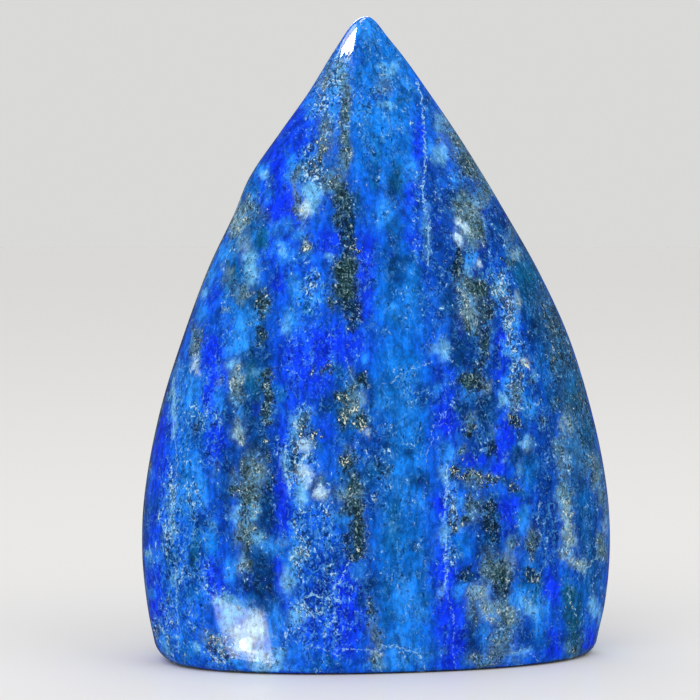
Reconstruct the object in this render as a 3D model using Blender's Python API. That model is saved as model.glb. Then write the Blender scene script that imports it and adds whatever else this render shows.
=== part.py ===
"""Lapis lazuli freeform: one polished, flame-shaped stone that stands on its flat sawn base.

Run with: blender --background --python part.py
Metres, +Z up. X is the stone's width, Y its thickness with the front at -Y, Z its height.
The origin is the middle of the bounding box's bottom, so the base lies in the plane Z = 0.
"""

import math

import bmesh
import bpy

# Driving dimensions.
HEIGHT = 0.100
WIDTH = 0.0742
THICKNESS = 0.0380
APEX_ACROSS = -0.0019  # the tip leans a little to the left of the middle
APEX_DEPTH = 0.0006

# The four outlines, each as (height, reach) with both as shares: of HEIGHT, and of half the
# WIDTH for the sides or half the THICKNESS for the front and back. The first point is the tip.
LEFT_OUTLINE = (
    (0.975, 0.137),
    (0.945, 0.191),
    (0.884, 0.295),
    (0.822, 0.413),
    (0.750, 0.545),
    (0.690, 0.614),
    (0.610, 0.720),
    (0.500, 0.833),
    (0.380, 0.930),
    (0.260, 0.990),
    (0.170, 1.000),
    (0.080, 0.976),
    (0.000, 0.931),
)
RIGHT_OUTLINE = (
    (0.975, 0.026),
    (0.945, 0.095),
    (0.884, 0.220),
    (0.800, 0.373),
    (0.700, 0.538),
    (0.600, 0.691),
    (0.500, 0.817),
    (0.380, 0.915),
    (0.260, 0.983),
    (0.170, 1.000),
    (0.080, 0.982),
    (0.000, 0.932),
)
FRONT_OUTLINE = (
    (0.975, 0.110),
    (0.945, 0.185),
    (0.880, 0.300),
    (0.750, 0.530),
    (0.600, 0.745),
    (0.450, 0.905),
    (0.310, 0.990),
    (0.200, 1.000),
    (0.090, 0.950),
    (0.000, 0.885),
)
BACK_OUTLINE = (
    (0.975, 0.120),
    (0.945, 0.200),
    (0.880, 0.325),
    (0.750, 0.545),
    (0.600, 0.730),
    (0.450, 0.870),
    (0.300, 0.965),
    (0.180, 1.000),
    (0.080, 0.965),
    (0.000, 0.890),
)

# How full the section is, as (height, superellipse exponent): below 2 it is a soft diamond with
# ridges at the front and back, at 2 an ellipse, and above 2 it has broad faces and rounder ends.
FULLNESS = ((1.000, 1.45), (0.900, 1.60), (0.780, 1.95), (0.600, 2.20), (0.300, 2.30), (0.000, 2.20))

# Where the ridge down the middle of the front and back runs, as (height, place), with the place
# 0 on the left outline and 1 on the right one: it starts left of the tip and fades into the belly.
RIDGE = ((1.000, 0.32), (0.900, 0.33), (0.800, 0.39), (0.600, 0.46), (0.300, 0.49), (0.000, 0.50))

# Radius of the rounded foot, where each side turns under to the flat base.
FOOT_ROUND_LEFT = 0.0030
FOOT_ROUND_RIGHT = 0.0020
FOOT_ROUND_FRONT = 0.0010
FOOT_ROUND_BACK = 0.0012
FOOT_ROUND = max(FOOT_ROUND_LEFT, FOOT_ROUND_RIGHT, FOOT_ROUND_FRONT, FOOT_ROUND_BACK)

# Fineness of the loft.
POINTS_PER_RING = 64
FOOT_RINGS = 5
BODY_RINGS = 40

LAPIS_BLUE = (0.012, 0.085, 0.480, 1.0)
LAPIS_ROUGHNESS = 0.14


def clear_scene():
    for old in list(bpy.data.objects):
        bpy.data.objects.remove(old, do_unlink=True)


def drop(height_share):
    """Distance measure from the tip: its square root makes every outline round at the tip."""
    return math.sqrt(max(0.0, 1.0 - height_share))


def smooth_through(stations, place):
    """Value at place of a smooth curve through (place, value) stations, in rising order."""
    last = len(stations) - 1
    slopes = []
    for index in range(last + 1):
        before = stations[max(index - 1, 0)]
        after = stations[min(index + 1, last)]
        slopes.append((after[1] - before[1]) / (after[0] - before[0]))
    span = 0
    while span < last - 1 and place > stations[span + 1][0]:
        span += 1
    start, value_start = stations[span]
    end, value_end = stations[span + 1]
    length = end - start
    t = min(max((place - start) / length, 0.0), 1.0)
    rise = t * t * (3.0 - 2.0 * t)
    leave = t * (1.0 - t) ** 2 * length * slopes[span]
    arrive = -t * t * (1.0 - t) * length * slopes[span + 1]
    return value_start + (value_end - value_start) * rise + leave + arrive


def outline_at(outline, apex_share, height_share):
    """Signed share of an outline at a height, smooth from the tip down."""
    stations = [(drop(1.0), apex_share)]
    stations += [(drop(height), reach) for height, reach in outline]
    return smooth_through(stations, drop(height_share))


def level_at(levels, height_share):
    """Value at a height from a list that runs from the tip down."""
    return smooth_through([(1.0 - height, value) for height, value in levels], 1.0 - height_share)


def foot_inset(radius, height):
    """How far the rounded foot has turned in at a height."""
    if height >= radius:
        return 0.0
    return radius - math.sqrt(radius ** 2 - (radius - height) ** 2)


def superellipse(angle, fullness):
    """Point of a unit superellipse, as (across, depth)."""
    across = math.copysign(abs(math.cos(angle)) ** (2.0 / fullness), math.cos(angle))
    depth = math.copysign(abs(math.sin(angle)) ** (2.0 / fullness), math.sin(angle))
    return across, depth


def section(height):
    """One ring of points at a height, as a list of (x, y, z)."""
    share = height / HEIGHT
    half_width = WIDTH / 2.0
    half_thickness = THICKNESS / 2.0
    apex_across = APEX_ACROSS / half_width
    apex_depth = APEX_DEPTH / half_thickness
    left = -half_width * outline_at(LEFT_OUTLINE, -apex_across, share)
    right = half_width * outline_at(RIGHT_OUTLINE, apex_across, share)
    front = -half_thickness * outline_at(FRONT_OUTLINE, -apex_depth, share)
    back = half_thickness * outline_at(BACK_OUTLINE, apex_depth, share)
    left += foot_inset(FOOT_ROUND_LEFT, height)
    right -= foot_inset(FOOT_ROUND_RIGHT, height)
    front += foot_inset(FOOT_ROUND_FRONT, height)
    back -= foot_inset(FOOT_ROUND_BACK, height)
    ridge = left + (right - left) * level_at(RIDGE, share)
    fullness = level_at(FULLNESS, share)
    middle_depth = (front + back) / 2.0
    points = []
    for index in range(POINTS_PER_RING):
        across, depth = superellipse(2.0 * math.pi * index / POINTS_PER_RING, fullness)
        x = ridge + across * ((right - ridge) if across > 0.0 else (ridge - left))
        y = middle_depth + depth * (back - front) / 2.0
        points.append((x, y, height))
    return points


def ring_heights():
    """Heights of the rings from the base up, closest in the rounded foot and at the tip."""
    quarter_turn = math.pi / 2.0
    foot = [FOOT_ROUND * (1.0 - math.cos(quarter_turn * step / FOOT_RINGS)) for step in range(FOOT_RINGS)]
    widest_drop = drop(FOOT_ROUND / HEIGHT)
    body = [HEIGHT * (1.0 - (widest_drop * (1.0 - step / BODY_RINGS)) ** 2) for step in range(BODY_RINGS)]
    return foot + body


def lapis_material():
    material = bpy.data.materials.new("polished_lapis_lazuli")
    material.use_nodes = True
    shader = material.node_tree.nodes["Principled BSDF"]
    shader.inputs["Base Color"].default_value = LAPIS_BLUE
    shader.inputs["Roughness"].default_value = LAPIS_ROUGHNESS
    shader.inputs["Metallic"].default_value = 0.0
    return material


def build_stone():
    """Loft the rings from the base to the tip, and close it with the base and the apex."""
    bm = bmesh.new()
    rings = []
    for height in ring_heights():
        rings.append([bm.verts.new(point) for point in section(height)])
    for lower, upper in zip(rings, rings[1:]):
        for index in range(POINTS_PER_RING):
            following = (index + 1) % POINTS_PER_RING
            bm.faces.new((lower[index], lower[following], upper[following], upper[index]))
    bm.faces.new(list(reversed(rings[0])))
    apex = bm.verts.new((APEX_ACROSS, APEX_DEPTH, HEIGHT))
    for index in range(POINTS_PER_RING):
        following = (index + 1) % POINTS_PER_RING
        bm.faces.new((rings[-1][index], rings[-1][following], apex))
    mesh = bpy.data.meshes.new("stone")
    bm.to_mesh(mesh)
    bm.free()
    mesh.shade_smooth()
    mesh.set_sharp_from_angle(angle=math.radians(40.0))
    mesh.materials.append(lapis_material())
    return bpy.data.objects.new("stone", mesh)


def main():
    clear_scene()
    collection = bpy.data.collections.new("lapis_lazuli_freeform")
    bpy.context.scene.collection.children.link(collection)
    collection.objects.link(build_stone())


main()
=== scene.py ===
"""Looks of the lapis lazuli freeform: its polished, banded surface, a pale floor, light and camera."""

import math
from collections import namedtuple

import bpy
import numpy as np
from mathutils import Matrix, Vector, noise


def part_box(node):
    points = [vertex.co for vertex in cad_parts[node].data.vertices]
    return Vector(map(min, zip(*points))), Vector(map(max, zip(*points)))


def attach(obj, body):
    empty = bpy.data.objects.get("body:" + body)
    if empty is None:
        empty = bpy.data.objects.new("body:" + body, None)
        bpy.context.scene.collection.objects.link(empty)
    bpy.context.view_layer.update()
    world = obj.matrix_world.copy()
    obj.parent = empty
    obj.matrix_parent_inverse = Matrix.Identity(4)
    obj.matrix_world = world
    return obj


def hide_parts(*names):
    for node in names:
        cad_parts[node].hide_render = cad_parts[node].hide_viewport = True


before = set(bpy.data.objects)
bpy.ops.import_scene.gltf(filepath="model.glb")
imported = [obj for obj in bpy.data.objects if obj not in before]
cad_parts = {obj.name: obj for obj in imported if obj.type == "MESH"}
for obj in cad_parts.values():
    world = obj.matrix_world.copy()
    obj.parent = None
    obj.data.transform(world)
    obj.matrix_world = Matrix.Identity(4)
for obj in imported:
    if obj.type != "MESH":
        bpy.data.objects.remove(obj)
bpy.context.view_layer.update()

MM = 0.001

# ---------------------------------------------------------------- camera
# The picture is 700 x 700 pixels. Places marked "column, row" below are pixels of that frame,
# which this fixed view of the stone turns into places on its front.
PICTURE_SIZE = 700
PICTURE_MIDDLE = PICTURE_SIZE / 2.0
PIXEL = 0.1564 * MM  # on a plane through the stone's middle
VIEW_AZIMUTH = math.radians(-9.5)
VIEW_PITCH = math.radians(3.2)
VIEW_DISTANCE = 404.0 * MM
AIM_ACROSS = -4.42 * MM
AIM_HEIGHT = 48.1 * MM
SENSOR = 36.0

TO_VIEWER = Vector((
    math.sin(VIEW_AZIMUTH) * math.cos(VIEW_PITCH),
    -math.cos(VIEW_AZIMUTH) * math.cos(VIEW_PITCH),
    math.sin(VIEW_PITCH),
))
PICTURE_RIGHT = Vector((math.cos(VIEW_AZIMUTH), math.sin(VIEW_AZIMUTH), 0.0))
PICTURE_UP = TO_VIEWER.cross(PICTURE_RIGHT)
VIEW_POINT = PICTURE_RIGHT * AIM_ACROSS + Vector((0.0, 0.0, AIM_HEIGHT)) + TO_VIEWER * VIEW_DISTANCE


def add_camera():
    data = bpy.data.cameras.new("camera")
    data.sensor_width = SENSOR
    data.lens = SENSOR / 2.0 * VIEW_DISTANCE / (PIXEL * PICTURE_MIDDLE)
    data.clip_start = 0.01
    data.clip_end = 20.0
    camera = bpy.data.objects.new("camera", data)
    bpy.context.collection.objects.link(camera)
    camera.location = VIEW_POINT
    camera.rotation_mode = "QUATERNION"
    axes = Matrix((PICTURE_RIGHT, PICTURE_UP, TO_VIEWER)).transposed()
    camera.rotation_quaternion = axes.to_quaternion()
    bpy.context.scene.camera = camera


def picture_places(points):
    """Column and row at which each point (an N x 3 array) is seen from the fixed view."""
    from_view = points - np.array(VIEW_POINT)
    depth = -(from_view @ np.array(TO_VIEWER))
    spread = VIEW_DISTANCE / PIXEL / depth
    column = PICTURE_MIDDLE + (from_view @ np.array(PICTURE_RIGHT)) * spread
    row = PICTURE_MIDDLE - (from_view @ np.array(PICTURE_UP)) * spread
    return column, row


# ---------------------------------------------------------------- helpers
WAVES_SEED = 1


def waves(points, wavelength):
    """Two smooth random shifts at each point, from -1 to 1. The wavelength is in mm."""
    noise.seed_set(WAVES_SEED)
    scaled = points / (wavelength * MM)
    return np.array([tuple(noise.noise_vector(Vector(place)))[:2] for place in scaled])


def smooth_step(value, low, high):
    t = np.clip((value - low) / (high - low), 0.0, 1.0)
    return t * t * (3.0 - 2.0 * t)


# ---------------------------------------------------------------- the stone's shape
# The same outlines as the CAD solid's, lofted more finely so that the polish is smooth.
BOX_LOW, BOX_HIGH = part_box("stone")
HEIGHT = BOX_HIGH[2] - BOX_LOW[2]
HALF_WIDTH = (BOX_HIGH[0] - BOX_LOW[0]) / 2.0
HALF_THICKNESS = (BOX_HIGH[1] - BOX_LOW[1]) / 2.0
APEX_ACROSS = -1.9 * MM
APEX_DEPTH = 0.6 * MM
# (height, reach), as shares of the height and of half the width or thickness, from the tip down.
LEFT_OUTLINE = (
    (0.975, 0.137), (0.945, 0.191), (0.884, 0.295), (0.822, 0.413), (0.750, 0.545), (0.690, 0.614),
    (0.610, 0.720), (0.500, 0.833), (0.380, 0.930), (0.260, 0.990), (0.170, 1.000), (0.080, 0.976),
    (0.000, 0.931),
)
RIGHT_OUTLINE = (
    (0.975, 0.026), (0.945, 0.095), (0.884, 0.220), (0.800, 0.373), (0.700, 0.538), (0.600, 0.691),
    (0.500, 0.817), (0.380, 0.915), (0.260, 0.983), (0.170, 1.000), (0.080, 0.982), (0.000, 0.932),
)
FRONT_OUTLINE = (
    (0.975, 0.110), (0.945, 0.185), (0.880, 0.300), (0.750, 0.530), (0.600, 0.745), (0.450, 0.905),
    (0.310, 0.990), (0.200, 1.000), (0.090, 0.950), (0.000, 0.885),
)
BACK_OUTLINE = (
    (0.975, 0.120), (0.945, 0.200), (0.880, 0.325), (0.750, 0.545), (0.600, 0.730), (0.450, 0.870),
    (0.300, 0.965), (0.180, 1.000), (0.080, 0.965), (0.000, 0.890),
)
FULLNESS = ((1.000, 1.45), (0.900, 1.60), (0.780, 1.95), (0.600, 2.20), (0.300, 2.30), (0.000, 2.20))
RIDGE = ((1.000, 0.32), (0.900, 0.33), (0.800, 0.39), (0.600, 0.46), (0.300, 0.49), (0.000, 0.50))
FOOT_ROUND_LEFT = 3.0 * MM
FOOT_ROUND_RIGHT = 2.0 * MM
FOOT_ROUND_FRONT = 1.0 * MM
FOOT_ROUND_BACK = 1.2 * MM
FOOT_ROUND = max(FOOT_ROUND_LEFT, FOOT_ROUND_RIGHT, FOOT_ROUND_FRONT, FOOT_ROUND_BACK)

# Hand polishing leaves broad shallow hollows, which fade out at the base and at the tip.
HOLLOW_DEPTH = 0.25 * MM
HOLLOW_LENGTH = 19.0  # in mm
HOLLOW_FADE_AT_BASE = (0.5 * MM, 5.0 * MM)
HOLLOW_FADE_AT_TIP = (HEIGHT, HEIGHT - 12.0 * MM)
# A chip is missing above the left end of the foot.
CHIP_MIDDLE = np.array((-35.5, -2.6, 5.8)) * MM
CHIP_RADIUS = 1.4 * MM
CHIP_DEPTH = 0.40 * MM

SHARP_ANGLE = 40.0  # in degrees, so that only the rim of the base is sharp
POINTS_PER_RING = 420
BODY_RINGS = 204
FOOT_RINGS = 12
BASE_RINGS = 14
TIP_CROWDING = 0.06


def smooth_through(stations, places):
    """Values at places of a smooth curve through (place, value) stations, in rising order."""
    knots = np.array([place for place, _ in stations])
    values = np.array([value for _, value in stations])
    slopes = np.empty(len(knots))
    slopes[1:-1] = (values[2:] - values[:-2]) / (knots[2:] - knots[:-2])
    slopes[0] = (values[1] - values[0]) / (knots[1] - knots[0])
    slopes[-1] = (values[-1] - values[-2]) / (knots[-1] - knots[-2])
    span = np.clip(np.searchsorted(knots, places) - 1, 0, len(knots) - 2)
    length = knots[span + 1] - knots[span]
    t = np.clip((places - knots[span]) / length, 0.0, 1.0)
    rise = t * t * (3.0 - 2.0 * t)
    leave = t * (1.0 - t) ** 2 * length * slopes[span]
    arrive = -t * t * (1.0 - t) * length * slopes[span + 1]
    return values[span] + (values[span + 1] - values[span]) * rise + leave + arrive


def outline_at(outline, apex_share, shares):
    stations = [(0.0, apex_share)]
    stations += [(math.sqrt(1.0 - height), reach) for height, reach in outline]
    return smooth_through(stations, np.sqrt(1.0 - shares))


def level_at(levels, shares):
    return smooth_through([(1.0 - height, value) for height, value in levels], 1.0 - shares)


def foot_inset(radius, heights):
    below = np.clip(radius - heights, 0.0, radius)
    return radius - np.sqrt(radius ** 2 - below ** 2)


def ring_heights():
    """Heights of the rings from the base up, closest in the rounded foot and at the tip."""
    turn = np.linspace(0.0, math.pi / 2.0, FOOT_RINGS, endpoint=False)
    foot = FOOT_ROUND * (1.0 - np.cos(turn))
    down = np.linspace(1.0, 0.0, BODY_RINGS, endpoint=False)
    drop = down ** 2 * (1.0 + TIP_CROWDING) / (down + TIP_CROWDING)
    return np.concatenate([foot, HEIGHT - (HEIGHT - FOOT_ROUND) * drop])


def stone_rings():
    """Points of every ring, as a rings x points x 3 array."""
    heights = ring_heights()
    shares = heights / HEIGHT
    left = -HALF_WIDTH * outline_at(LEFT_OUTLINE, -APEX_ACROSS / HALF_WIDTH, shares)
    right = HALF_WIDTH * outline_at(RIGHT_OUTLINE, APEX_ACROSS / HALF_WIDTH, shares)
    front = -HALF_THICKNESS * outline_at(FRONT_OUTLINE, -APEX_DEPTH / HALF_THICKNESS, shares)
    back = HALF_THICKNESS * outline_at(BACK_OUTLINE, APEX_DEPTH / HALF_THICKNESS, shares)
    left += foot_inset(FOOT_ROUND_LEFT, heights)
    right -= foot_inset(FOOT_ROUND_RIGHT, heights)
    front += foot_inset(FOOT_ROUND_FRONT, heights)
    back -= foot_inset(FOOT_ROUND_BACK, heights)
    ridge = left + (right - left) * level_at(RIDGE, shares)
    power = (2.0 / level_at(FULLNESS, shares))[:, None]
    angle = 2.0 * math.pi * np.arange(POINTS_PER_RING)[None, :] / POINTS_PER_RING
    across = np.sign(np.cos(angle)) * np.abs(np.cos(angle)) ** power
    depth = np.sign(np.sin(angle)) * np.abs(np.sin(angle)) ** power
    rings = np.empty((len(heights), POINTS_PER_RING, 3))
    reach = np.where(across > 0.0, (right - ridge)[:, None], (ridge - left)[:, None])
    rings[:, :, 0] = ridge[:, None] + across * reach
    rings[:, :, 1] = ((front + back) / 2.0)[:, None] + depth * ((back - front) / 2.0)[:, None]
    rings[:, :, 2] = heights[:, None]
    return rings


def worn(rings):
    """The rings with the hollows and the chip taken off them."""
    points = rings.reshape(-1, 3)
    heights = points[:, 2]
    depth = HOLLOW_DEPTH * (0.5 + 0.5 * waves(points, HOLLOW_LENGTH)[:, 0])
    depth *= smooth_step(heights, *HOLLOW_FADE_AT_BASE) * smooth_step(heights, *HOLLOW_FADE_AT_TIP)
    share = np.clip(np.linalg.norm(points - CHIP_MIDDLE, axis=1) / CHIP_RADIUS, 0.0, 1.0)
    depth += CHIP_DEPTH * (1.0 - share ** 2) ** 2
    inwards = rings.mean(axis=1, keepdims=True) - rings
    inwards /= np.linalg.norm(inwards, axis=2, keepdims=True)
    return rings + inwards * depth.reshape(len(rings), POINTS_PER_RING, 1)


def base_rings(rim):
    """Rings across the flat base, from near its middle out to just inside its rim."""
    middle = rim.mean(axis=0)
    shares = np.arange(1, BASE_RINGS)[:, None, None] / BASE_RINGS
    return middle + (rim - middle) * shares


def build_stone():
    body = worn(stone_rings())
    rings = np.concatenate([base_rings(body[0]), body])
    ring_count = len(rings)
    points = rings.reshape(-1, 3)
    base_middle = len(points)
    apex = base_middle + 1
    points = np.vstack([points, body[0].mean(axis=0), (APEX_ACROSS, APEX_DEPTH, HEIGHT)])
    index = np.arange(ring_count * POINTS_PER_RING).reshape(ring_count, POINTS_PER_RING)
    following = np.roll(index, -1, axis=1)
    quads = np.stack([index[:-1], following[:-1], following[1:], index[1:]], axis=-1).reshape(-1, 4)
    faces = quads.tolist()
    faces += [[int(a), int(b), apex] for a, b in zip(index[-1], following[-1])]
    faces += [[int(b), int(a), base_middle] for a, b in zip(index[0], following[0])]
    mesh = bpy.data.meshes.new("lapis_freeform")
    mesh.from_pydata(points.tolist(), [], faces)
    mesh.update()
    mesh.shade_smooth()
    mesh.set_sharp_from_angle(angle=math.radians(SHARP_ANGLE))
    stone = bpy.data.objects.new("lapis_freeform", mesh)
    bpy.context.collection.objects.link(stone)
    return stone


# ---------------------------------------------------------------- the stone's pattern
def srgb(red, green, blue):
    """Linear colour of an 8-bit screen colour."""
    parts = []
    for value in (red, green, blue):
        share = value / 255.0
        parts.append(share / 12.92 if share <= 0.04045 else ((share + 0.055) / 1.055) ** 2.4)
    return np.array(parts)


ROYAL = srgb(8, 86, 214)
COLOURS = {
    "ultramarine": srgb(6, 48, 232),
    "deep": srgb(2, 54, 140),
    "azure": srgb(6, 112, 206),
    "sky": srgb(40, 144, 252),
    "teal": srgb(4, 82, 122),
    "pale": srgb(116, 196, 246),
    "white": srgb(206, 240, 255),
    "grey": srgb(80, 116, 132),
    "ash": srgb(132, 172, 186),
    "shade": srgb(0, 50, 108),
    "navy": srgb(2, 34, 150),
    "dark": srgb(2, 50, 78),
    "olive": srgb(38, 76, 80),
}

# The ground is royal blue. Over it lie marks, each group of a kind painted over those before it. A
# mark is a soft oval, (column, row, half width, half height), or a soft streak along a route, in
# pixels, and a number among the marks is the strength of those that follow it.
Streak = namedtuple("Streak", "half_width route")

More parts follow.
